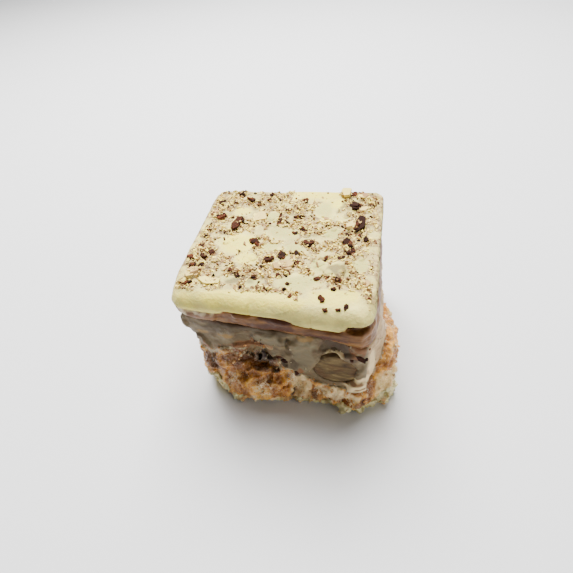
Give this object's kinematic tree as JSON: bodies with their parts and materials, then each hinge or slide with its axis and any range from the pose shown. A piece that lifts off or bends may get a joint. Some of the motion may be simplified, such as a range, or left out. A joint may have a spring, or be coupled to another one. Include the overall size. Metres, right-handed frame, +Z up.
{
  "type": "vanilla caramel toffee square",
  "caption": "Hand-cut square of layered candy: white chocolate with chopped almonds over soft caramel, vanilla nougat and brittle toffee on a thin white chocolate base.",
  "frame": {"origin": "on the flat underside, below the middle of the cut square", "axes": "+Z up through the layers, -Y out of the front cut that shows the almond, +X along that cut to the right"},
  "size_m": [0.0448, 0.0407, 0.0336],
  "materials": {
    "white_chocolate": "satin, ivory white chocolate",
    "caramel": "soft brown caramel, slightly glossy",
    "nougat": "matt pinkish off-white nougat",
    "almond": "matt cut almond",
    "toffee": "amber brittle toffee with sugar crystals"
  },
  "bodies": {
    "root": {"white_chocolate_top": "white_chocolate", "caramel_layer": "caramel", "nougat_layer": "nougat", "almond_slice": "almond", "toffee_layer": "toffee", "white_chocolate_base": "white_chocolate"}
  },
  "joints": []
}
